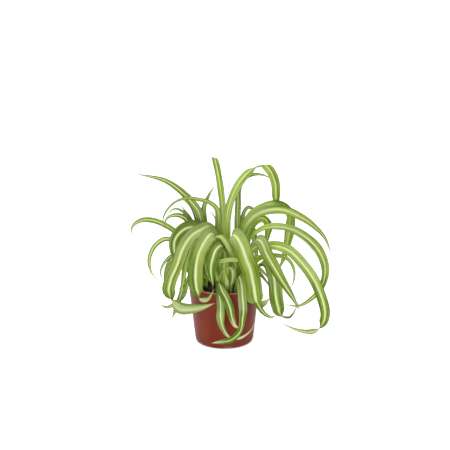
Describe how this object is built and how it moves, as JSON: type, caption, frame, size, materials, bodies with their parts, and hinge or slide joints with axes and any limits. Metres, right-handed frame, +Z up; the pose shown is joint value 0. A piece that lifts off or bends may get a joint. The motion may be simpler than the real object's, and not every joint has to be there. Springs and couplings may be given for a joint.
{
  "type": "potted spider plant",
  "caption": "Small potted spider plant with curled, arching leaves, each green with a cream midstripe, growing from soil in a thin terracotta-red plastic nursery pot.",
  "frame": {"origin": "centre of the circle that the pot stands on", "axes": "+Z up along the pot's axis, -Y to the front of the plant, +X to its right as seen from the front"},
  "size_m": [0.3246, 0.2298, 0.2974],
  "materials": {
    "pot": "satin",
    "soil": "matte",
    "crown": "matte",
    "leaf": "satin"
  },
  "bodies": {
    "root": {"pot": "pot", "soil": "soil", "crown_front": "crown", "crown_left": "crown", "crown_right": "crown", "leaf_front_right_broad": "leaf", "leaf_front_right_inner": "leaf", "leaf_front_left_broad": "leaf", "leaf_front_left_narrow": "leaf", "leaf_left_sweep": "leaf", "leaf_front_left_inner": "leaf", "leaf_front_centre": "leaf", "leaf_front_small_arch": "leaf", "leaf_front_hook_right": "leaf", "leaf_front_hook_left": "leaf", "leaf_inner_cross": "leaf", "leaf_inner_small": "leaf", "leaf_upright_front": "leaf", "leaf_tall_arch": "leaf", "leaf_left_upright": "leaf", "leaf_inner_pale": "leaf", "leaf_left_arch": "leaf", "leaf_left_straight": "leaf", "leaf_left_under": "leaf", "leaf_left_thin_arch": "leaf", "leaf_left_behind": "leaf", "leaf_left_back_arch": "leaf", "leaf_left_dark_arch": "leaf", "leaf_left_far_arch": "leaf", "leaf_left_loop_large": "leaf", "leaf_left_loop_small": "leaf", "leaf_left_drop": "leaf", "leaf_left_low_tip": "leaf", "leaf_left_cross": "leaf", "leaf_upright_back": "leaf", "leaf_small_back_curl": "leaf", "leaf_right_hanging": "leaf", "leaf_right_high_arch": "leaf", "leaf_right_band": "leaf", "leaf_right_wide_arch": "leaf", "leaf_right_diagonal": "leaf", "leaf_right_short": "leaf", "leaf_right_low_sweep": "leaf", "leaf_right_blade": "leaf", "leaf_right_short_low": "leaf", "leaf_right_cross_low": "leaf", "leaf_right_low_curl": "leaf", "leaf_right_thin_curl": "leaf", "leaf_back_centre_tall": "leaf", "leaf_back_right_tall": "leaf", "leaf_back_left_tall": "leaf", "leaf_back_left_mid": "leaf", "leaf_back_left_low": "leaf", "leaf_back_left_side": "leaf", "leaf_back_left_reach": "leaf", "leaf_back_right_mid": "leaf", "leaf_back_right_side": "leaf", "leaf_back_right_low": "leaf", "leaf_back_right_short": "leaf"}
  },
  "joints": []
}
